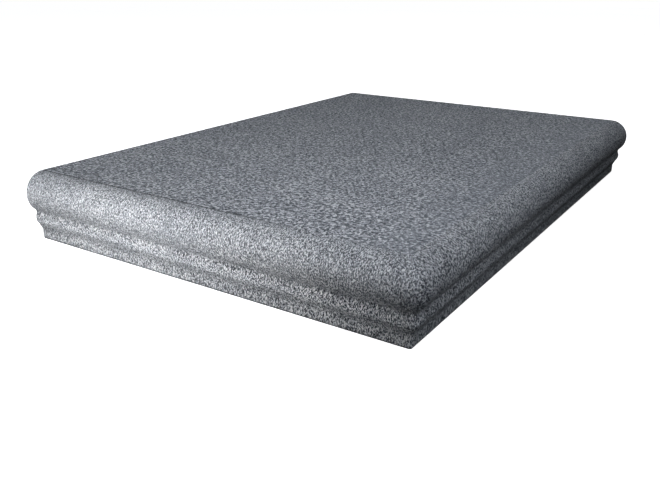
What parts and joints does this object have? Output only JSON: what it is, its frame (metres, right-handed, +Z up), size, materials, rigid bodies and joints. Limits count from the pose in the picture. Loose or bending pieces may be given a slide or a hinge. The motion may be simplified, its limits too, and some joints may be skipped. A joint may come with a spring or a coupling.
{
  "type": "ceramic corner step tile",
  "caption": "Fired-clay corner step tile: a thin tread slab with a deep moulded nosing along its front and right sides, meeting in a rounded outer corner.",
  "frame": {"origin": "middle of the tile's outline seen from above, at the foot of the nosings", "axes": "+X along the front nosing towards the side nosing, +Y from the front nosing to the back joint, +Z up from the foot to the tread"},
  "size_m": [0.24, 0.34, 0.039],
  "materials": {
    "fired_clay": "matt, dark grey, with a fine pebbled skin on the tread and the moulding"
  },
  "bodies": {
    "root": {"corner_step_tile": "fired_clay"}
  },
  "joints": []
}
